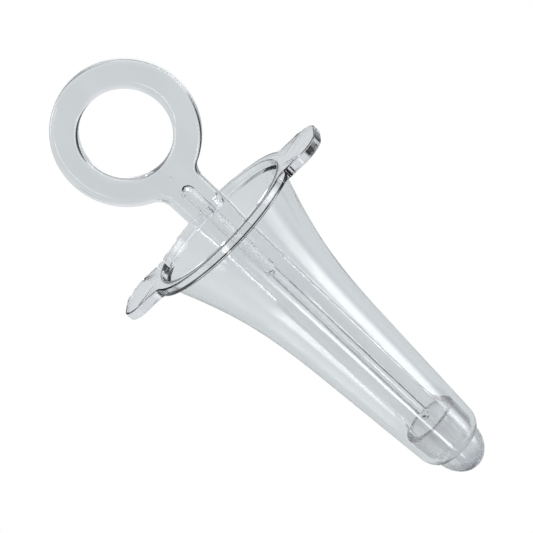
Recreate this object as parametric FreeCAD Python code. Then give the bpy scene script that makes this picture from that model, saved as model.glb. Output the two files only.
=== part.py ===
import FreeCAD, Part
import math
import os

# Clear moulded examination scope: a bell-mouthed viewing tube with finger
# ears, and an obturator that slides out of it by its finger ring.
# The tube's axis is Z, with the mouth plane at Z = 0, the finger ring above
# it and the blunt nose below it. The ears and the ring lie in the XZ plane.
# All sizes are in millimetres.

# ---- driving dimensions: viewing tube ----
flange_radius = 23.7
flange_thickness = 2.6
flange_edge_round = 0.45
mouth_radius = 20.7
mouth_bore_depth = 2.2
wall = 1.3
bell_radius = 21.1
bell_slope = 0.36
tube_top_z = -48.95
tube_top_radius = 11.7
tube_slope = 0.06
curve_pull = 0.8
lip_start_z = -85.85
lip_bend_radius = 6.4
lip_bend_end = 39.0
lip_hole_radius = 7.4
lip_round = 0.45

# ---- driving dimensions: finger ears ----
ear_reach = 34.0
ear_width = 19.0
ear_corner_radius = 6.5
ear_root_radius = 3.0

# ---- driving dimensions: obturator ----
ring_z = 32.25
ring_outer_radius = 19.0
ring_hole_radius = 11.8
ring_thickness = 4.0
ring_edge_round = 0.9
neck_width = 11.2
neck_root_radius = 4.5
blade_width = 10.3
blade_thickness = 3.6
tongue_flare_z = -74.4
tongue_top_z = -77.4
blade_end_z = -83.4
shoulder_z = -25.95
neck_taper_top_z = 1.5
neck_taper_end_z = -3.0
rib_base_width = 4.3
rib_crest_width = 2.4
rib_height = 1.3
rib_top_z = 12.8
boss_end_z = -20.45
low_rib_base_width = 3.2
low_rib_crest_width = 1.7
low_rib_height = 0.9
low_rib_end_z = -78.6

# ---- driving dimensions: nose ----
nose_rim_z = -79.0
nose_tip_z = -98.75
nose_wall = 1.3
dome_start_z = -89.85
running_gap = 0.3
shoulder_gap = 0.45
glue_gap = 0.04

V = FreeCAD.Vector
origin = V(0, 0, 0)
up = V(0, 0, 1)


def line(a, b):
    return Part.LineSegment(V(a[0], 0, a[1]), V(b[0], 0, b[1])).toShape()


def arc_about(centre, radius, start, end):
    """Arc in the XZ half plane; angles are in degrees below the X direction."""
    def at(angle):
        turn = math.radians(angle)
        return V(centre[0] + radius * math.cos(turn), 0, centre[1] - radius * math.sin(turn))
    return Part.Arc(at(start), at((start + end) / 2), at(end)).toShape()


def point_on_arc(centre, radius, angle):
    turn = math.radians(angle)
    return (centre[0] + radius * math.cos(turn), centre[1] - radius * math.sin(turn))


def bezier(points):
    curve = Part.BezierCurve()
    curve.setPoles([V(x, 0, z) for x, z in points])
    return curve.toShape()


def turned(edges):
    """A closed outline in the XZ half plane, turned about the Z axis."""
    face = Part.Face(Part.Wire(Part.__sortEdges__(edges)))
    return face.revolve(origin, up, 360)


def fillet_where(shape, radius, wanted):
    edges = [edge for edge in shape.Edges if wanted(edge)]
    return shape.makeFillet(radius, edges)


def tube_radius(z):
    """Outer radius of the straight taper below the bell."""
    return tube_top_radius - tube_slope * (tube_top_z - z)


# ---- shape of the rounded-in lip, shared by the tube and the nose ----
lip_start_radius = tube_radius(lip_start_z)
lip_tilt = math.degrees(math.atan(tube_slope))
lip_centre = (
    lip_start_radius - lip_bend_radius * math.cos(math.radians(lip_tilt)),
    lip_start_z + lip_bend_radius * math.sin(math.radians(lip_tilt)),
)


def nose_outer(z):
    """Outer radius of the nose where it runs inside the straight taper."""
    return tube_radius(z) - wall - shoulder_gap


nose_bore_radius = nose_outer(lip_start_z) - nose_wall


def angle_at_radius(bend_radius, radius):
    """Angle round the lip's bend at which the arc reaches a given radius."""
    return math.degrees(math.acos((radius - lip_centre[0]) / bend_radius))


# ==== scope body: bell, tube, flange and ears in one moulding ====
def flare(offset):
    """Outer curve of the bell, from the flange down to the straight taper."""
    start = (bell_radius - offset, -flange_thickness)
    end = (tube_top_radius - offset, tube_top_z)
    depth = start[1] - end[1]
    drop = start[0] - end[0]
    meet = (drop - tube_slope * depth) / (bell_slope - tube_slope)
    first = (start[0] - bell_slope * curve_pull * meet, start[1] - curve_pull * meet)
    rest = curve_pull * (depth - meet)
    second = (end[0] + tube_slope * rest, end[1] + rest)
    return bezier([start, first, second, end])


def tube_shell():
    outer_bottom = (lip_start_radius, lip_start_z)
    tip_outer = point_on_arc(lip_centre, lip_bend_radius, lip_bend_end)
    tip_inner = (lip_hole_radius, tip_outer[1] + lip_round * 0.4)
    tip_middle = V(
        (tip_outer[0] + tip_inner[0]) / 2 - lip_round * 0.15,
        0,
        (tip_outer[1] + tip_inner[1]) / 2 - lip_round * 0.5,
    )
    inner_bend = lip_bend_radius - wall
    inner_angle = angle_at_radius(inner_bend, lip_hole_radius)
    hole_top = point_on_arc(lip_centre, inner_bend, inner_angle)
    inner_bottom = point_on_arc(lip_centre, inner_bend, lip_tilt)
    bell_inner = (bell_radius - wall, -flange_thickness)
    step_outer = (mouth_radius, -mouth_bore_depth)
    edges = [
        line((flange_radius, 0), (flange_radius, -flange_thickness)),
        line((flange_radius, -flange_thickness), (bell_radius, -flange_thickness)),
        flare(0),
        line((tube_top_radius, tube_top_z), outer_bottom),
        arc_about(lip_centre, lip_bend_radius, lip_tilt, lip_bend_end),
        Part.Arc(V(tip_outer[0], 0, tip_outer[1]), tip_middle, V(tip_inner[0], 0, tip_inner[1])).toShape(),
        line(tip_inner, hole_top),
        arc_about(lip_centre, inner_bend, inner_angle, lip_tilt),
        line(inner_bottom, (tube_top_radius - wall, tube_top_z)),
        flare(wall),
        line(bell_inner, step_outer),
        line(step_outer, (mouth_radius, 0)),
        line((mouth_radius, 0), (flange_radius, 0)),
    ]
    return turned(edges)


def ear_plate():
    """Both ears in one plate across the flange, with a round bite left for the bell."""
    plate = Part.makeBox(2 * ear_reach, ear_width, flange_thickness,
                         V(-ear_reach, -ear_width / 2, -flange_thickness))
    corner_x = ear_reach - 0.01
    plate = fillet_where(plate, ear_corner_radius, lambda edge: (
        edge.BoundBox.ZLength > 1 and edge.BoundBox.XLength < 0.01
        and abs(edge.BoundBox.Center.x) > corner_x))
    disc = Part.makeCylinder(flange_radius, flange_thickness, V(0, 0, -flange_thickness))
    plate = plate.fuse(disc).removeSplitter()
    root_x = math.sqrt(flange_radius ** 2 - (ear_width / 2) ** 2)
    plate = fillet_where(plate, ear_root_radius, lambda edge: (
        edge.BoundBox.ZLength > 1 and edge.BoundBox.XLength < 0.01
        and abs(abs(edge.BoundBox.Center.x) - root_x) < 0.05
        and abs(abs(edge.BoundBox.Center.y) - ear_width / 2) < 0.05))
    bite = Part.makeCylinder(flange_radius - 1.0, 2 * flange_thickness, V(0, 0, -1.5 * flange_thickness))
    return plate.cut(bite)


def scope_body():
    body = tube_shell().fuse(ear_plate()).removeSplitter()
    reach = flange_radius - 0.5

    def on_rim(edge):
        box = edge.BoundBox
        flat = box.ZLength < 0.01
        at_face = min(abs(box.Center.z), abs(box.Center.z + flange_thickness)) < 0.01
        outside = all(math.hypot(v.X, v.Y) > reach for v in edge.Vertexes)
        middle = edge.valueAt((edge.FirstParameter + edge.LastParameter) / 2)
        return flat and at_face and outside and math.hypot(middle.x, middle.y) > reach
    return fillet_where(body, flange_edge_round, on_rim)


# ==== obturator handle: ring, neck, blade and ribs in one moulding ====
def slab(width_top, width_bottom, z_top, z_bottom, thickness):
    corners = [
        V(-width_top / 2, -thickness / 2, z_top),
        V(width_top / 2, -thickness / 2, z_top),
        V(width_bottom / 2, -thickness / 2, z_bottom),
        V(-width_bottom / 2, -thickness / 2, z_bottom),
    ]
    return Part.Face(Part.makePolygon(corners + corners[:1])).extrude(V(0, thickness, 0))


def round_ended(width, z_top, z_bottom, y):
    """Outline of a strip with half-round ends, at a given height Y."""
    half = width / 2
    top = Part.Arc(V(-half, y, z_top - half), V(0, y, z_top), V(half, y, z_top - half)).toShape()
    right = Part.LineSegment(V(half, y, z_top - half), V(half, y, z_bottom + half)).toShape()
    bottom = Part.Arc(V(half, y, z_bottom + half), V(0, y, z_bottom), V(-half, y, z_bottom + half)).toShape()
    left = Part.LineSegment(V(-half, y, z_bottom + half), V(-half, y, z_top - half)).toShape()
    return Part.Wire([top, right, bottom, left])


def rib(base_width, crest_width, height, z_top, z_bottom, side):
    """A drafted rib standing on one face of the blade."""
    sunk = 0.5
    draft = (base_width - crest_width) / 2
    base = blade_thickness / 2
    slope = draft / height
    low = round_ended(base_width + 2 * sunk * slope, z_top + sunk * slope,
                      z_bottom - sunk * slope, side * (base - sunk))
    high = round_ended(crest_width, z_top - draft, z_bottom + draft, side * (base + height))
    return Part.makeLoft([low, high], True)


def obturator_handle():
    ring = Part.makeCylinder(ring_outer_radius, ring_thickness,
                             V(0, -ring_thickness / 2, ring_z), V(0, 1, 0))
    neck = slab(neck_width, neck_width, ring_z - ring_hole_radius - 1, neck_taper_top_z, ring_thickness)
    plate = ring.fuse(neck).removeSplitter()
    root_z = ring_z - math.sqrt(ring_outer_radius ** 2 - (neck_width / 2) ** 2)
    plate = fillet_where(plate, neck_root_radius, lambda edge: (
        edge.BoundBox.YLength > 1 and edge.BoundBox.ZLength < 0.01
        and abs(edge.BoundBox.Center.z - root_z) < 0.05))
    hole = Part.makeCylinder(ring_hole_radius, 2 * ring_thickness,
                             V(0, -ring_thickness, ring_z), V(0, 1, 0))
    plate = plate.cut(hole)
    taper = slab(neck_width, blade_width, neck_taper_top_z, neck_taper_end_z, ring_thickness)
    upper = slab(blade_width, blade_width, neck_taper_end_z, shoulder_z, ring_thickness)
    plate = plate.fuse([taper, upper]).removeSplitter()

    def on_ring_face(edge):
        box = edge.BoundBox
        at_face = box.YLength < 0.01 and abs(abs(box.Center.y) - ring_thickness / 2) < 0.01
        return at_face and box.ZMin > neck_taper_top_z - 0.01 and box.ZLength > 0.1
    plate = fillet_where(plate, ring_edge_round, on_ring_face)
    glued_radius = nose_bore_radius - glue_gap
    tongue_width = 2 * math.sqrt(glued_radius ** 2 - (blade_thickness / 2) ** 2)
    lower = slab(blade_width, blade_width, shoulder_z + 0.5, tongue_flare_z, blade_thickness)
    widening = slab(blade_width, tongue_width, tongue_flare_z, tongue_top_z, blade_thickness)
    tongue = slab(tongue_width, tongue_width, tongue_top_z, blade_end_z, blade_thickness)
    parts = [lower, widening, tongue]
    for side in (-1, 1):
        parts.append(rib(rib_base_width, rib_crest_width, rib_height, rib_top_z, boss_end_z, side))
        parts.append(rib(low_rib_base_width, low_rib_crest_width, low_rib_height,
                         boss_end_z + 4, low_rib_end_z, side))
    return plate.fuse(parts).removeSplitter()


# ==== obturator nose: hollow blunt cap cemented on the end of the blade ====
def obturator_nose():
    shoulder_bend = lip_bend_radius - wall - shoulder_gap
    stem_radius = lip_hole_radius - running_gap
    stem_angle = angle_at_radius(shoulder_bend, stem_radius)
    shoulder_top = point_on_arc(lip_centre, shoulder_bend, lip_tilt)
    stem_top = point_on_arc(lip_centre, shoulder_bend, stem_angle)
    rim = (nose_outer(nose_rim_z), nose_rim_z)
    bore_radius = nose_bore_radius
    dome_height = dome_start_z - nose_tip_z
    ellipse = Part.Ellipse(V(0, 0, nose_tip_z), V(stem_radius, 0, dome_start_z), V(0, 0, dome_start_z))
    outer_dome = ellipse.toShape(ellipse.parameter(V(0, 0, nose_tip_z)),
                                 ellipse.parameter(V(0, 0, nose_tip_z)) + math.pi / 2)
    if min(v.X for v in outer_dome.Vertexes) < -0.01:
        outer_dome = ellipse.toShape(ellipse.parameter(V(0, 0, nose_tip_z)) - math.pi / 2,
                                     ellipse.parameter(V(0, 0, nose_tip_z)))
    inner_tip = nose_tip_z + nose_wall
    stem_bore = stem_radius - nose_wall
    bore_turn = (stem_bore, lip_start_z - 2.5)
    edges = [
        line(rim, shoulder_top),
        arc_about(lip_centre, shoulder_bend, lip_tilt, stem_angle),
        line(stem_top, (stem_radius, dome_start_z)),
        outer_dome,
        line((0, nose_tip_z), (0, inner_tip)),
        bezier([(0, inner_tip), (stem_bore * 0.55, inner_tip),
                (stem_bore, dome_start_z - dome_height * 0.45), (stem_bore, dome_start_z)]),
        line((stem_bore, dome_start_z), bore_turn),
        bezier([bore_turn, (stem_bore, lip_start_z - 1.0), (bore_radius, lip_start_z - 0.6),
                (bore_radius, lip_start_z + 1.2)]),
        line((bore_radius, lip_start_z + 1.2), (bore_radius, nose_rim_z)),
        line((bore_radius, nose_rim_z), rim),
    ]
    return turned(edges)


os.makedirs("parts", exist_ok=True)
shapes = {
    "scope_body": scope_body(),
    "obturator_handle": obturator_handle(),
    "obturator_nose": obturator_nose(),
}
for name, shape in shapes.items():
    solid = shape.Solids[0] if len(shape.Solids) == 1 else shape
    solid.exportStep("parts/" + name + ".step")
    box = solid.BoundBox
    print(name, "valid", solid.isValid(), "solids", len(shape.Solids), "volume", round(solid.Volume),
          "z", round(box.ZMin, 2), round(box.ZMax, 2), "x", round(box.XMin, 2), round(box.XMax, 2))
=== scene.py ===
import math

import bmesh
import bpy
from mathutils import Matrix, Vector


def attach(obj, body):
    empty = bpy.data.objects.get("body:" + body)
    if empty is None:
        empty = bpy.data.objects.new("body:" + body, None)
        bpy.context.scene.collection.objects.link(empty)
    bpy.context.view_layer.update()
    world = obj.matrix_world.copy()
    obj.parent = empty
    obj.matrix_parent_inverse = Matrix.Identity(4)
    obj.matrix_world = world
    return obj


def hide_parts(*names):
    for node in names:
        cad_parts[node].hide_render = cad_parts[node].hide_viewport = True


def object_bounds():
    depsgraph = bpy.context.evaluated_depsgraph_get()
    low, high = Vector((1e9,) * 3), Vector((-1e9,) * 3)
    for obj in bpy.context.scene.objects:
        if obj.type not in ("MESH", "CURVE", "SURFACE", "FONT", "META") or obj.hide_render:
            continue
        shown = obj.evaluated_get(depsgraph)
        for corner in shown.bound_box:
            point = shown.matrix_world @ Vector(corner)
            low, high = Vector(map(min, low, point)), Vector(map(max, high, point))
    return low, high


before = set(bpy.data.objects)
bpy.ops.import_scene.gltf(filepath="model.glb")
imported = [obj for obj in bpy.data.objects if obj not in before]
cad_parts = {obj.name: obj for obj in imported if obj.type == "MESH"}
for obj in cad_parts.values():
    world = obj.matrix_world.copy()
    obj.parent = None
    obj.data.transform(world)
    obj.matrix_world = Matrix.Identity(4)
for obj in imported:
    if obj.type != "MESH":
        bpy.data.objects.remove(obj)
cad_low, cad_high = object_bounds()

# ---------------------------------------------------------------------------
# Studio: the camera sees a white floor and a white background. The plastic
# sees a grey room instead, with soft boxes and dark strips that give it its
# grey body and its highlights. The camera is rolled: the ring is upper left.
# ---------------------------------------------------------------------------
mm = 0.001
scene = bpy.context.scene
scene.view_settings.view_transform = "Standard"

turn_to_camera = math.radians(15.0)
camera_tilt = math.radians(15.5)
axis_slope = math.radians(43.2)
camera_distance = 400 * mm
camera_lens = 108.9
camera_sensor = 36
camera_height = 93.15 * mm
side_shift = -0.2 * mm
toward = Vector((math.sin(turn_to_camera), -math.cos(turn_to_camera), 0))
across = Vector((math.cos(turn_to_camera), math.sin(turn_to_camera), 0))
up = Vector((0, 0, 1))
forward = -toward * math.cos(camera_tilt) - up * math.sin(camera_tilt)
along = -up * math.cos(camera_tilt) + toward * math.sin(camera_tilt)
picture_right = along * math.cos(axis_slope) + across * math.sin(axis_slope)
picture_up = across * math.cos(axis_slope) - along * math.sin(axis_slope)

camera_data = bpy.data.cameras.new("camera")
camera_data.sensor_width = camera_sensor
camera_data.lens = camera_lens
camera_data.dof.use_dof = False
camera = bpy.data.objects.new("camera", camera_data)
scene.collection.objects.link(camera)
place = toward * camera_distance + up * camera_height + across * side_shift
camera.matrix_world = Matrix((
    (picture_right.x, picture_up.x, -forward.x, place.x),
    (picture_right.y, picture_up.y, -forward.y, place.y),
    (picture_right.z, picture_up.z, -forward.z, place.z),
    (0, 0, 0, 1),
))
scene.camera = camera

world = bpy.data.worlds.new("studio")
scene.world = world
world.use_nodes = True
nodes, links = world.node_tree.nodes, world.node_tree.links
background = nodes["Background"]
direction = nodes.new("ShaderNodeTexCoord")


def part_of(vector):
    """How far the ray leans along one direction of the room."""
    node = nodes.new("ShaderNodeVectorMath")
    node.operation = "DOT_PRODUCT"
    node.inputs[1].default_value = vector
    links.new(direction.outputs["Generated"], node.inputs[0])
    return node.outputs["Value"]


def ramp(value, stops):
    """A colour ramp from (place from 0 to 1, colour) pairs."""
    node = nodes.new("ShaderNodeValToRGB")
    links.new(value, node.inputs["Fac"])
    while len(node.color_ramp.elements) < len(stops):
        node.color_ramp.elements.new(0.5)
    for element, (position, colour) in zip(node.color_ramp.elements, stops):
        element.position = position
        element.color = (*colour, 1)
    return node.outputs["Color"]


turn = nodes.new("ShaderNodeMath")
turn.operation = "ARCTAN2"
links.new(part_of(across), turn.inputs[0])
links.new(part_of(toward), turn.inputs[1])
turn_share = nodes.new("ShaderNodeMapRange")
turn_share.inputs["From Min"].default_value = -math.pi
turn_share.inputs["From Max"].default_value = math.pi
links.new(turn.outputs["Value"], turn_share.inputs["Value"])

# Places round the room run from 0 behind the object to 0.5 at the camera and
# 1 behind again. For someone standing at the camera 0.25 is left, 0.75 right.
paper = (0.162, 0.171, 0.174)
bright_paper = (0.26, 0.265, 0.27)
soft_grey = (0.10, 0.102, 0.104)
front_grey = (0.22, 0.22, 0.22)
violet = (0.05, 0.05, 0.10)
soft_box = (0.85, 0.85, 0.85)
dim_box = (0.34, 0.34, 0.34)
strip_box = (1.6, 1.6, 1.6)
none = (0, 0, 0)
full = (1, 1, 1)
walls = ramp(turn_share.outputs["Result"], [
    (0.00, paper), (0.13, paper), (0.16, (0.16, 0.165, 0.17)), (0.18, (0.18, 0.185, 0.19)),
    (0.21, bright_paper), (0.285, bright_paper), (0.30, dim_box), (0.33, dim_box),
    (0.36, soft_grey), (0.433, soft_grey), (0.443, strip_box), (0.448, strip_box),
    (0.457, (0.15, 0.15, 0.155)), (0.52, (0.155, 0.155, 0.155)), (0.60, front_grey), (0.64, front_grey),
    (0.65, violet), (0.655, violet), (0.67, soft_box), (0.715, soft_box),
    (0.745, paper), (0.765, violet), (0.785, paper), (1.00, paper)])

# Heights run from 0 straight down, over 0.5 at the level, to 1 straight up.
below = (0.135, 0.137, 0.155)
height_share = nodes.new("ShaderNodeMapRange")
height_share.inputs["From Min"].default_value = -1
height_share.inputs["From Max"].default_value = 1
links.new(part_of(up), height_share.inputs["Value"])
ceiling = ramp(height_share.outputs["Result"], [
    (0.00, below), (0.06, below), (0.12, paper), (0.50, paper), (0.56, (0.18, 0.185, 0.19)),
    (0.70, (0.19, 0.19, 0.195)), (0.85, (0.22, 0.22, 0.25)), (1.00, (0.32, 0.32, 0.32))])
ceiling_share = ramp(height_share.outputs["Result"], [
    (0.00, full), (0.10, full), (0.21, none), (0.455, none), (0.49, full), (1.00, full)])
dark_doorway = ramp(turn_share.outputs["Result"], [
    (0.00, full), (0.025, full), (0.035, none), (0.115, none), (0.125, full), (1.00, full)])
doorway = nodes.new("ShaderNodeMix")
doorway.data_type = "RGBA"
doorway.blend_type = "MULTIPLY"
doorway.inputs["Factor"].default_value = 1.0
links.new(ceiling, doorway.inputs[6])
links.new(dark_doorway, doorway.inputs[7])
room = nodes.new("ShaderNodeMix")
room.data_type = "RGBA"
links.new(ceiling_share, room.inputs["Factor"])
links.new(walls, room.inputs[6])
links.new(doorway.outputs[2], room.inputs[7])

# The camera alone sees plain white: the strength times the sheet is 1.
room_strength = 4.0
sheet = 0.25
seen = nodes.new("ShaderNodeLightPath")
sheet_or_room = nodes.new("ShaderNodeMix")
sheet_or_room.data_type = "RGBA"
links.new(seen.outputs["Is Camera Ray"], sheet_or_room.inputs["Factor"])
links.new(room.outputs[2], sheet_or_room.inputs[6])
sheet_or_room.inputs[7].default_value = (sheet, sheet, sheet, 1)
links.new(sheet_or_room.outputs[2], background.inputs["Color"])
background.inputs["Strength"].default_value = room_strength

floor_radius = 3.0
floor_drop = 5 * mm
bpy.ops.mesh.primitive_circle_add(
    vertices=96, radius=floor_radius, fill_type="NGON", location=(0, 0, cad_low.z - floor_drop))
floor = bpy.context.object
floor.name = "floor"
white = bpy.data.materials.new("floor_white")
white.use_nodes = True
floor_nodes, floor_links = white.node_tree.nodes, white.node_tree.links
floor_nodes.clear()
glow = floor_nodes.new("ShaderNodeEmission")
glow.inputs["Color"].default_value = (1, 1, 1, 1)
glow.inputs["Strength"].default_value = 1.0
clear = floor_nodes.new("ShaderNodeBsdfTransparent")
floor_seen = floor_nodes.new("ShaderNodeLightPath")
floor_mix = floor_nodes.new("ShaderNodeMixShader")
surface = floor_nodes.new("ShaderNodeOutputMaterial")
floor_links.new(floor_seen.outputs["Is Camera Ray"], floor_mix.inputs["Fac"])
floor_links.new(clear.outputs["BSDF"], floor_mix.inputs[1])
floor_links.new(glow.outputs["Emission"], floor_mix.inputs[2])
floor_links.new(floor_mix.outputs["Shader"], surface.inputs["Surface"])
floor.data.materials.append(white)


# ---------------------------------------------------------------------------
# Scope body: one clear polystyrene moulding, a bell-mouthed tube with a
# flange, two finger ears and a rounded-in lip. The tube is turned from its
# section; the flange plate is joined to it on a shared edge.
# ---------------------------------------------------------------------------
turn_steps = 192
weld = 0.002 * mm
flange_radius = 23.7 * mm
flange_thickness = 2.6 * mm
edge_round = 0.45 * mm
mouth_radius = 20.7 * mm
mouth_bore_depth = 2.2 * mm
mouth_round = 0.25 * mm
wall = 1.3 * mm
bell_radius = 21.1 * mm
bell_slope = 0.36
bell_pull = 0.8
tube_top = -48.95 * mm
tube_top_radius = 11.7 * mm
tube_slope = 0.06
lip_start = -85.85 * mm
lip_bend = 6.4 * mm
lip_hole = 7.4 * mm
ear_reach = 34.0 * mm
ear_width = 19.0 * mm
ear_corner = 6.5 * mm
ear_root = 3.0 * mm
stub_radius = 22.3 * mm


def edit(piece, kind="VERT"):
    """Opens one piece in edit mode with nothing selected."""
    if bpy.context.mode != "OBJECT":
        bpy.ops.object.mode_set(mode="OBJECT")
    bpy.ops.object.select_all(action="DESELECT")
    piece.select_set(True)
    bpy.context.view_layer.objects.active = piece
    bpy.ops.object.mode_set(mode="EDIT")
    bpy.ops.mesh.select_mode(type=kind)
    bpy.ops.mesh.select_all(action="DESELECT")


def done():
    """Closes edit mode and gives back the piece."""
    bpy.ops.object.mode_set(mode="OBJECT")
    return bpy.context.view_layer.objects.active


def pick(piece, wanted, kind="edges"):
    """Selects the edges or faces of the open piece that a test accepts."""
    shape = bmesh.from_edit_mesh(piece.data)
    for item in getattr(shape, kind):
        item.select = bool(wanted(item))
    shape.select_flush_mode()
    bmesh.update_edit_mesh(piece.data)


def drawn_profile(name, points):
    """A closed outline in the XZ plane, drawn by extruding one vertex from point to point."""
    bpy.ops.object.select_all(action="DESELECT")
    bpy.ops.mesh.primitive_plane_add(size=mm, location=(0, 0, 0))
    piece = bpy.context.object
    piece.name = name
    edit(piece)
    bpy.ops.mesh.select_all(action="SELECT")
    bpy.ops.mesh.merge(type="CENTER")
    bpy.ops.transform.translate(value=points[0])
    for here, there in zip(points, points[1:]):
        bpy.ops.mesh.extrude_region_move(TRANSFORM_OT_translate={"value": there - here})
    return done()


def spun(piece):
    """Turns the outline about the Z axis into a watertight mesh, normals outwards."""
    edit(piece)
    shape = bmesh.from_edit_mesh(piece.data)
    ends = [v for v in shape.verts if len(v.link_edges) == 1]
    if len(ends) == 2:
        shape.edges.new(ends)
    bmesh.update_edit_mesh(piece.data)
    bpy.ops.mesh.select_all(action="SELECT")
    bpy.ops.mesh.spin(steps=turn_steps, angle=math.tau, center=(0, 0, 0), axis=(0, 0, 1))
    bpy.ops.mesh.select_all(action="SELECT")
    bpy.ops.mesh.remove_doubles(threshold=weld)
    bpy.ops.mesh.delete_loose(use_verts=True, use_edges=True)
    bpy.ops.mesh.select_all(action="SELECT")
    bpy.ops.mesh.normals_make_consistent(inside=False)
    return done()


def bend(centre, radius, start, end, count):
    """Points on an arc in the XZ plane; angles are below the X direction."""
    turns = [start + (end - start) * i / count for i in range(count + 1)]
    return [Vector((centre[0] + radius * math.cos(t), 0, centre[1] - radius * math.sin(t))) for t in turns]


def swept(corners, count):
    """Points on a cubic curve through two end points with two handles."""
    out = []
    for i in range(count + 1):
        t = i / count
        weights = ((1 - t) ** 3, 3 * t * (1 - t) ** 2, 3 * t * t * (1 - t), t ** 3)
        x = sum(w * c[0] for w, c in zip(weights, corners))
        z = sum(w * c[1] for w, c in zip(weights, corners))
        out.append(Vector((x, 0, z)))
    return out


def straight(a, b, count):
    """Evenly spaced points on a line in the XZ plane."""
    run, rise = b[0] - a[0], b[1] - a[1]
    return [Vector((a[0] + run * i / count, 0, a[1] + rise * i / count)) for i in range(count + 1)]


def bell_curve(offset, count):
    """The bell from the flange down to the tube, moved inwards by an offset."""
    start = (bell_radius - offset, -flange_thickness)
    end = (tube_top_radius - offset, tube_top)
    depth, drop = start[1] - end[1], start[0] - end[0]
    meet = (drop - tube_slope * depth) / (bell_slope - tube_slope)
    first = (start[0] - bell_pull * bell_slope * meet, start[1] - bell_pull * meet)
    rest = bell_pull * (depth - meet)
    second = (end[0] + tube_slope * rest, end[1] + rest)
    return swept([start, first, second, end], count)


lip_tilt = math.atan(tube_slope)
lip_start_radius = tube_top_radius - tube_slope * (tube_top - lip_start)
lip_centre = (
    lip_start_radius - lip_bend * math.cos(lip_tilt),
    lip_start + lip_bend * math.sin(lip_tilt),
)
lip_end = math.radians(39)
inner_bend = lip_bend - wall
inner_end = math.acos((lip_hole - lip_centre[0]) / inner_bend)
outer_tip = bend(lip_centre, lip_bend, lip_tilt, lip_end, 12)
tip_end = outer_tip[-1]
hole_low = Vector((lip_hole, 0, tip_end.z + 0.18 * mm))
hole_high = bend(lip_centre, inner_bend, inner_end, lip_tilt, 12)

section = []
section += [Vector((stub_radius, 0, -flange_thickness))]
section += bell_curve(0, 48)
section += straight((tube_top_radius, tube_top), (lip_start_radius, lip_start), 24)[1:]
section += outer_tip[1:]
section += swept([
    (tip_end.x, tip_end.z), (tip_end.x - 0.22 * mm, tip_end.z - 0.2 * mm),
    (hole_low.x - 0.02 * mm, hole_low.z - 0.42 * mm), (hole_low.x, hole_low.z)], 6)[1:]
section += hole_high
inner_start = hole_high[-1]
section += straight((inner_start.x, inner_start.z), (tube_top_radius - wall, tube_top), 24)[1:]
section += list(reversed(bell_curve(wall, 48)))[1:]
section += [Vector((mouth_radius - 0.12 * mm, 0, -mouth_bore_depth - 0.05 * mm))]
section += [Vector((mouth_radius, 0, -mouth_bore_depth + 0.1 * mm))]
section += bend((mouth_radius + mouth_round, -mouth_round), mouth_round, math.pi, 1.5 * math.pi, 4)
section += [Vector((stub_radius, 0, 0))]
scope = drawn_profile("scope_body_clear", section)
scope = spun(scope)


def outlined_plate(name, outline, holes, thickness, lay_flat):
    """Draws a closed outline with round holes (centre, radius), fills it and extrudes it to a plate."""
    bpy.ops.object.select_all(action="DESELECT")
    bpy.ops.mesh.primitive_plane_add(size=mm, location=(0, 0, 0))
    piece = bpy.context.object
    piece.name = name
    edit(piece)
    bpy.ops.mesh.select_all(action="SELECT")
    bpy.ops.mesh.merge(type="CENTER")
    bpy.ops.transform.translate(value=(outline[0][0], outline[0][1], 0))
    for here, there in zip(outline, outline[1:] + outline[:1]):
        move = (there[0] - here[0], there[1] - here[1], 0)
        bpy.ops.mesh.extrude_region_move(TRANSFORM_OT_translate={"value": move})
    for (centre, radius) in holes:
        bpy.ops.mesh.select_all(action="DESELECT")
        bpy.ops.mesh.primitive_circle_add(
            vertices=turn_steps, radius=radius, location=(centre[0], centre[1], 0))
    bpy.ops.mesh.select_all(action="SELECT")
    bpy.ops.mesh.remove_doubles(threshold=weld)
    bpy.ops.mesh.select_all(action="SELECT")
    bpy.ops.mesh.fill(use_beauty=True)
    bpy.ops.mesh.select_all(action="SELECT")
    bpy.ops.mesh.extrude_region_move(TRANSFORM_OT_translate={"value": (0, 0, -thickness)})
    bpy.ops.mesh.select_all(action="SELECT")
    bpy.ops.mesh.normals_make_consistent(inside=False)
    if not lay_flat:
        bpy.ops.transform.rotate(value=-math.pi / 2, orient_axis="X", center_override=(0, 0, 0))
        bpy.ops.transform.translate(value=(0, -thickness / 2, 0))
    return done()


def around(centre, radius, start, end, count):
    """Points on an arc of a flat outline; angles turn from X towards the second axis."""
    turns = [start + (end - start) * i / count for i in range(count + 1)]
    return [(centre[0] + radius * math.cos(t), centre[1] + radius * math.sin(t)) for t in turns]


corner_x, corner_y = ear_reach - ear_corner, ear_width / 2 - ear_corner
root_y = ear_width / 2 + ear_root
root_x = math.sqrt((flange_radius + ear_root) ** 2 - root_y ** 2)
root_end = math.atan2(-root_y, -root_x)
disc_start = math.atan2(root_y, root_x)
quarter = [(ear_reach, 0)]
quarter += around((corner_x, corner_y), ear_corner, 0, math.pi / 2, 14)
quarter += around((root_x, root_y), ear_root, -math.pi / 2, root_end, 8)
quarter += around((0, 0), flange_radius, disc_start, math.pi / 2, 24)[1:]
mirrored_x = [(-x, y) for (x, y) in reversed(quarter[:-1])]
top_half = quarter + mirrored_x
outline = top_half + [(x, -y) for (x, y) in reversed(top_half[1:-1])]
plate = outlined_plate("flange_plate", outline, [((0, 0), stub_radius)], flange_thickness, True)
edit(plate, "EDGE")


def on_rim(edge):
    """A test for the flange's outer edges, top and bottom."""
    a, b = edge.verts
    flat = abs(a.co.z - b.co.z) < 0.01 * mm
    outside = min(math.hypot(v.co.x, v.co.y) for v in edge.verts) > stub_radius + 0.5 * mm
    turned = len(edge.link_faces) == 2 and edge.calc_face_angle(0) > 1.0
    return flat and outside and turned


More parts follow.
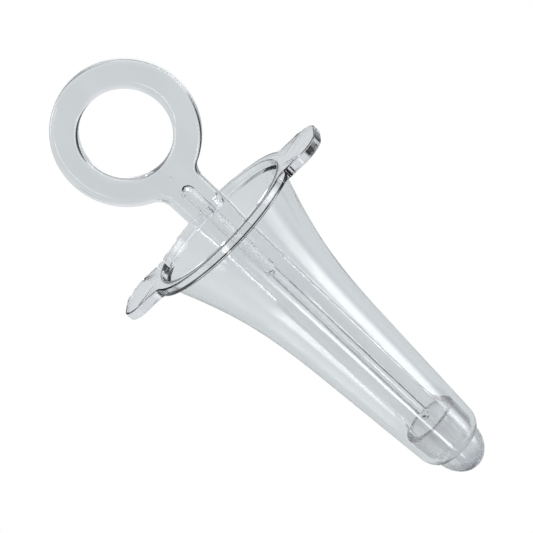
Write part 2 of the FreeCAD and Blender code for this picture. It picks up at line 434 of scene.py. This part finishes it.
pick(plate, on_rim)
bpy.ops.mesh.bevel(offset=edge_round, offset_type="OFFSET", segments=5, profile=0.5)
bpy.ops.mesh.select_mode(type="FACE")


def at_stub(face):
    """A test for the wall where tube and flange meet, which is left out of both."""
    return all(abs(math.hypot(v.co.x, v.co.y) - stub_radius) < 0.02 * mm for v in face.verts)


pick(plate, at_stub, "faces")
bpy.ops.mesh.delete(type="FACE")
plate = done()
edit(scope, "FACE")
pick(scope, at_stub, "faces")
bpy.ops.mesh.delete(type="FACE")
scope = done()
bpy.ops.object.select_all(action="DESELECT")
plate.select_set(True)
scope.select_set(True)
bpy.context.view_layer.objects.active = scope
bpy.ops.object.join()
edit(scope)
bpy.ops.mesh.select_all(action="SELECT")
bpy.ops.mesh.remove_doubles(threshold=0.02 * mm)
bpy.ops.mesh.select_all(action="SELECT")
bpy.ops.mesh.normals_make_consistent(inside=False)
scope = done()


def finish_smooth(piece, flat_axis):
    """Smooth rounded surfaces with crisp edges; the moulding's flat faces stay flat."""
    bpy.ops.object.select_all(action="DESELECT")
    piece.select_set(True)
    bpy.context.view_layer.objects.active = piece
    bpy.ops.object.shade_smooth_by_angle(angle=math.radians(30))
    edit(piece, "FACE")
    pick(piece, lambda face: abs(face.normal.dot(flat_axis)) > 0.99999, "faces")
    bpy.ops.mesh.faces_shade_flat()
    done()
    weighted = piece.modifiers.new("weighted", "WEIGHTED_NORMAL")
    weighted.keep_sharp = True
    bpy.ops.object.modifier_apply(modifier=weighted.name)


finish_smooth(scope, up)


def clear_plastic(name, tint, density, haze_low, coat, flow_scale, flow_strength, line_strength, flow_shade):
    """Clear polystyrene: faintly tinted, with shallow flow waves from the mould and fine rubbing marks."""
    material = bpy.data.materials.new(name)
    material.use_nodes = True
    tree = material.node_tree
    shader = tree.nodes["Principled BSDF"]
    shader.inputs["Transmission Weight"].default_value = 1.0
    shader.inputs["IOR"].default_value = 1.58
    place = tree.nodes.new("ShaderNodeTexCoord")
    scratch_map = tree.nodes.new("ShaderNodeMapping")
    scratch_map.inputs["Scale"].default_value = (1, 1, 0.06)
    tree.links.new(place.outputs["Object"], scratch_map.inputs["Vector"])
    scratches = tree.nodes.new("ShaderNodeTexNoise")
    scratches.inputs["Scale"].default_value = 1500
    scratches.inputs["Detail"].default_value = 5
    tree.links.new(scratch_map.outputs["Vector"], scratches.inputs["Vector"])
    haze = tree.nodes.new("ShaderNodeMapRange")
    haze.inputs["From Min"].default_value = 0.45
    haze.inputs["From Max"].default_value = 0.75
    haze.inputs["To Min"].default_value = haze_low
    haze.inputs["To Max"].default_value = haze_low * 2.5
    tree.links.new(scratches.outputs["Fac"], haze.inputs["Value"])
    tree.links.new(haze.outputs["Result"], shader.inputs["Roughness"])
    flow_map = tree.nodes.new("ShaderNodeMapping")
    flow_map.inputs["Scale"].default_value = (1, 1, 0.3)
    tree.links.new(place.outputs["Object"], flow_map.inputs["Vector"])
    waves = tree.nodes.new("ShaderNodeTexNoise")
    waves.inputs["Scale"].default_value = flow_scale
    waves.inputs["Detail"].default_value = 3
    waves.inputs["Distortion"].default_value = 0.6
    tree.links.new(flow_map.outputs["Vector"], waves.inputs["Vector"])
    flow_colour = tree.nodes.new("ShaderNodeValToRGB")
    flow_colour.color_ramp.elements[0].position = 0.36
    flow_colour.color_ramp.elements[0].color = (flow_shade, flow_shade * 1.01, flow_shade * 1.015, 1)
    flow_colour.color_ramp.elements[1].position = 0.62
    flow_colour.color_ramp.elements[1].color = (1, 1, 1, 1)
    tree.links.new(waves.outputs["Fac"], flow_colour.inputs["Fac"])
    tree.links.new(flow_colour.outputs["Color"], shader.inputs["Base Color"])
    wave_bump = tree.nodes.new("ShaderNodeBump")
    wave_bump.inputs["Strength"].default_value = flow_strength
    wave_bump.inputs["Distance"].default_value = 0.2 * mm
    tree.links.new(waves.outputs["Fac"], wave_bump.inputs["Height"])
    line_bump = tree.nodes.new("ShaderNodeBump")
    line_bump.inputs["Strength"].default_value = line_strength
    line_bump.inputs["Distance"].default_value = 0.02 * mm
    tree.links.new(scratches.outputs["Fac"], line_bump.inputs["Height"])
    tree.links.new(wave_bump.outputs["Normal"], line_bump.inputs["Normal"])
    tree.links.new(line_bump.outputs["Normal"], shader.inputs["Normal"])
    shader.inputs["Coat Weight"].default_value = coat
    shader.inputs["Coat Roughness"].default_value = 0.03
    depth = tree.nodes.new("ShaderNodeVolumeAbsorption")
    depth.inputs["Color"].default_value = (*tint, 1)
    depth.inputs["Density"].default_value = density
    tree.links.new(depth.outputs["Volume"], tree.nodes["Material Output"].inputs["Volume"])
    return material


scope.data.materials.append(clear_plastic(
    "clear_scope", tint=(0.60, 0.66, 0.78), density=8, haze_low=0.015, coat=0.0,
    flow_scale=90, flow_strength=0.25, line_strength=0.35, flow_shade=0.95))
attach(scope, "scope")
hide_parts("scope_body")


# ---------------------------------------------------------------------------
# Obturator handle: one flat clear moulding, a finger ring with a neck and a
# long blade, stiffened by a rib on each face. The blade's end is cemented
# into the nose.
# ---------------------------------------------------------------------------
ring_height = 32.25 * mm
ring_radius = 19.0 * mm
ring_hole = 11.8 * mm
ring_thickness = 4.0 * mm
ring_round = 0.9 * mm
neck_width = 11.2 * mm
neck_root = 4.5 * mm
neck_end = 1.5 * mm
blade_width = 10.3 * mm
blade_thickness = 3.6 * mm
blade_round = 0.3 * mm
blade_start = -3.0 * mm
shoulder = -25.95 * mm
tongue_flare = -74.4 * mm
tongue_top = -77.4 * mm
tongue_half = 5.975 * mm
blade_end = -83.4 * mm
long_rib_base = 3.2 * mm
long_rib_crest = 1.7 * mm
long_rib_height = 0.9 * mm
long_rib_top = -16.45 * mm
long_rib_end = -78.6 * mm
long_rib_root = 0.5 * mm
boss_base = 4.3 * mm
boss_crest = 2.4 * mm
boss_height = 1.3 * mm
boss_top = 12.8 * mm
boss_end = -20.45 * mm
boss_root = 0.9 * mm
gate_half_width = 0.2 * mm
gate_stand = 0.25 * mm
gate_sink = 0.2 * mm
gate_round = 0.06 * mm
gate_low = 14.9 * mm
gate_high = 17.0 * mm
half_plate = ring_thickness / 2
half_blade = blade_thickness / 2

neck_half, blade_half = neck_width / 2, blade_width / 2
root_height = ring_height - math.sqrt((ring_radius + neck_root) ** 2 - (neck_half + neck_root) ** 2)
root_turn = math.atan2(ring_height - root_height, -(neck_half + neck_root))
ring_turn = root_turn - math.pi
right = [(tongue_half, blade_end), (tongue_half, tongue_top), (blade_half, tongue_flare)]
right += [(blade_half, blade_start), (neck_half, neck_end)]
right += around((neck_half + neck_root, root_height), neck_root, math.pi, root_turn, 12)
right += around((0, ring_height), ring_radius, ring_turn, math.pi / 2, 90)[1:]
outline = right + [(-x, z) for (x, z) in reversed(right[:-1])]
finger_hole = ((0, ring_height), ring_hole)
handle = outlined_plate("obturator_handle_clear", outline, [finger_hole], ring_thickness, False)

# The plate is cut across, and everything below the shoulder is thinned to the blade.
edit(handle)
for height in (shoulder, shoulder - 0.05 * mm, blade_start):
    bpy.ops.mesh.select_all(action="SELECT")
    bpy.ops.mesh.bisect(plane_co=(0, 0, height), plane_no=(0, 0, 1))
shape = bmesh.from_edit_mesh(handle.data)
for v in shape.verts:
    if v.co.z < shoulder - 0.02 * mm:
        v.co.y *= half_blade / half_plate
bmesh.update_edit_mesh(handle.data)
bpy.ops.mesh.select_mode(type="EDGE")


def face_edge(low, high):
    """A test for the edges round the front and back faces between two heights."""
    def wanted(edge):
        a, b = edge.verts
        level = abs(a.co.y - b.co.y) < 0.01 * mm
        inside = min(a.co.z, b.co.z) > low - 0.01 * mm and max(a.co.z, b.co.z) < high + 0.01 * mm
        return level and inside and len(edge.link_faces) == 2 and edge.calc_face_angle(0) > 1.0
    return wanted


pick(handle, face_edge(neck_end, 1.0))
bpy.ops.mesh.bevel(offset=ring_round, offset_type="OFFSET", segments=7, profile=0.5)
pick(handle, face_edge(blade_end + 0.02 * mm, neck_end - 0.05 * mm))
bpy.ops.mesh.bevel(offset=blade_round, offset_type="OFFSET", segments=3, profile=0.5)
bpy.ops.mesh.select_all(action="SELECT")
bpy.ops.mesh.remove_doubles(threshold=weld)

# Slivers that the two bevels folded back on themselves are melted away.
pick(handle, lambda edge: len(edge.link_faces) == 2 and edge.calc_face_angle(0) > 3.0)
bpy.ops.mesh.dissolve_edges(use_verts=False)
handle = done()


def block(name, low, high):
    """A box primitive at its size and place."""
    size = [b - a for a, b in zip(low, high)]
    middle = [(a + b) / 2 for a, b in zip(low, high)]
    bpy.ops.object.select_all(action="DESELECT")
    bpy.ops.mesh.primitive_cube_add(size=1, location=middle)
    piece = bpy.context.object
    piece.name = name
    piece.scale = size
    bpy.ops.object.transform_apply(location=True, rotation=True, scale=True)
    return piece


def united(piece, other):
    """Joins another solid to a piece as one skin."""
    union = piece.modifiers.new("union", "BOOLEAN")
    union.operation = "UNION"
    union.solver = "MANIFOLD"
    union.object = other
    bpy.ops.object.select_all(action="DESELECT")
    bpy.context.view_layer.objects.active = piece
    bpy.ops.object.modifier_apply(modifier=union.name)
    bpy.data.objects.remove(other, do_unlink=True)
    return piece


def drafted_rib(name, base, crest, height, top, bottom, sunk, side):
    """A rib with half-round ends that narrows to its crest, standing on one face of the blade."""
    bpy.ops.object.select_all(action="DESELECT")
    piece = block(name, (-base / 2, 0, bottom), (base / 2, height + sunk, top))
    edit(piece, "EDGE")
    pick(piece, lambda e: abs(e.verts[0].co.y - e.verts[1].co.y) > 0.5 * height)
    bpy.ops.mesh.bevel(offset=base / 2 * 0.999, offset_type="OFFSET", segments=12, profile=0.5)
    bpy.ops.mesh.select_mode(type="VERT")
    inset = (base - crest) / 2
    shape = bmesh.from_edit_mesh(piece.data)
    for v in shape.verts:
        if v.co.y > height:
            v.co.x *= crest / base
            middle = (top + bottom) / 2
            length = (top - bottom) / 2
            v.co.z = middle + (v.co.z - middle) * (length - inset) / length
    bmesh.update_edit_mesh(piece.data)
    bpy.ops.mesh.select_mode(type="EDGE")
    pick(piece, lambda e: min(v.co.y for v in e.verts) > height and e.calc_face_angle(0) > 0.5)
    bpy.ops.mesh.bevel(offset=0.2 * mm, offset_type="OFFSET", segments=3, profile=0.5)
    bpy.ops.mesh.select_all(action="SELECT")
    bpy.ops.mesh.normals_make_consistent(inside=False)
    bpy.ops.transform.translate(value=(0, half_blade - sunk, 0))
    if side < 0:
        bpy.ops.transform.rotate(value=math.pi, orient_axis="Z", center_override=(0, 0, 0))
    return done()


for side in (-1, 1):
    long_rib = drafted_rib(
        "long_rib", long_rib_base, long_rib_crest, long_rib_height,
        long_rib_top, long_rib_end, long_rib_root, side)
    handle = united(handle, long_rib)
    boss = drafted_rib("boss_rib", boss_base, boss_crest, boss_height, boss_top, boss_end, boss_root, side)
    handle = united(handle, boss)

# The gate mark is a small closed shell of its own, set into the front face.
gate_mark = block(
    "gate_mark", (-gate_half_width, -half_plate - gate_stand, gate_low),
    (gate_half_width, -half_plate + gate_sink, gate_high))
edit(gate_mark, "EDGE")
bpy.ops.mesh.select_all(action="SELECT")
bpy.ops.mesh.bevel(offset=gate_round, offset_type="OFFSET", segments=2, profile=0.5)
gate_mark = done()
finish_smooth(handle, Vector((0, 1, 0)))
bpy.ops.object.select_all(action="DESELECT")
gate_mark.select_set(True)
handle.select_set(True)
bpy.context.view_layer.objects.active = handle
bpy.ops.object.join()
handle = bpy.context.object
handle.data.materials.clear()
handle.data.materials.append(clear_plastic(
    "clear_obturator", tint=(0.60, 0.68, 0.74), density=8, haze_low=0.012, coat=0.0,
    flow_scale=80, flow_strength=0.2, line_strength=0.25, flow_shade=0.94))
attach(handle, "obturator")
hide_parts("obturator_handle")


# ---------------------------------------------------------------------------
# Obturator nose: a hollow blunt cap of the same clear plastic, turned from
# its section, cemented over the blade's tongue. Its shoulder stops behind
# the tube's lip.
# ---------------------------------------------------------------------------
nose_rim = -79.0 * mm
nose_tip = -98.75 * mm
nose_wall = 1.3 * mm
dome_start = -89.85 * mm
running_gap = 0.3 * mm
shoulder_gap = 0.45 * mm
rim_edge = 0.25 * mm
bore_edge = 0.2 * mm
bore_step_low = lip_start - 2.5 * mm
bore_step_high = lip_start + 1.2 * mm
shoulder_bend = lip_bend - wall - shoulder_gap
stem = lip_hole - running_gap
stem_turn = math.acos((stem - lip_centre[0]) / shoulder_bend)
rim_radius = tube_top_radius - tube_slope * (tube_top - nose_rim) - wall - shoulder_gap
bore = lip_start_radius - wall - shoulder_gap - nose_wall
stem_bore = stem - nose_wall
dome = dome_start - nose_tip

nose_section = [Vector((rim_radius - rim_edge, 0, nose_rim)), Vector((rim_radius, 0, nose_rim - rim_edge))]
shoulder_points = bend(lip_centre, shoulder_bend, lip_tilt, stem_turn, 10)
shoulder_start = (shoulder_points[0].x, shoulder_points[0].z)
nose_section += straight((rim_radius, nose_rim - rim_edge), shoulder_start, 6)[1:]
nose_section += shoulder_points[1:]
nose_section += straight((stem, shoulder_points[-1].z), (stem, dome_start), 5)[1:]
nose_section += [
    Vector((stem * math.cos(t), 0, dome_start - dome * math.sin(t)))
    for t in [math.pi / 2 * i / 32 for i in range(1, 33)]]
nose_section += [Vector((0, 0, nose_tip + nose_wall))]
nose_section += swept([
    (0, nose_tip + nose_wall), (stem_bore * 0.55, nose_tip + nose_wall),
    (stem_bore, dome_start - dome * 0.45), (stem_bore, dome_start)], 24)[1:]
nose_section += straight((stem_bore, dome_start), (stem_bore, bore_step_low), 3)[1:]
nose_section += swept([
    (stem_bore, bore_step_low), (stem_bore, lip_start - mm),
    (bore, lip_start - 0.6 * mm), (bore, bore_step_high)], 10)[1:]
nose_section += straight((bore, bore_step_high), (bore, nose_rim - bore_edge), 6)[1:]
nose_section += [Vector((bore + bore_edge, 0, nose_rim))]
nose = drawn_profile("obturator_nose_clear", nose_section)
nose = spun(nose)
finish_smooth(nose, up)
nose.data.materials.append(clear_plastic(
    "clear_nose", tint=(0.50, 0.68, 0.92), density=9, haze_low=0.24, coat=1.0,
    flow_scale=110, flow_strength=0.15, line_strength=0.05, flow_shade=0.97))
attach(nose, "obturator")
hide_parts("obturator_nose")
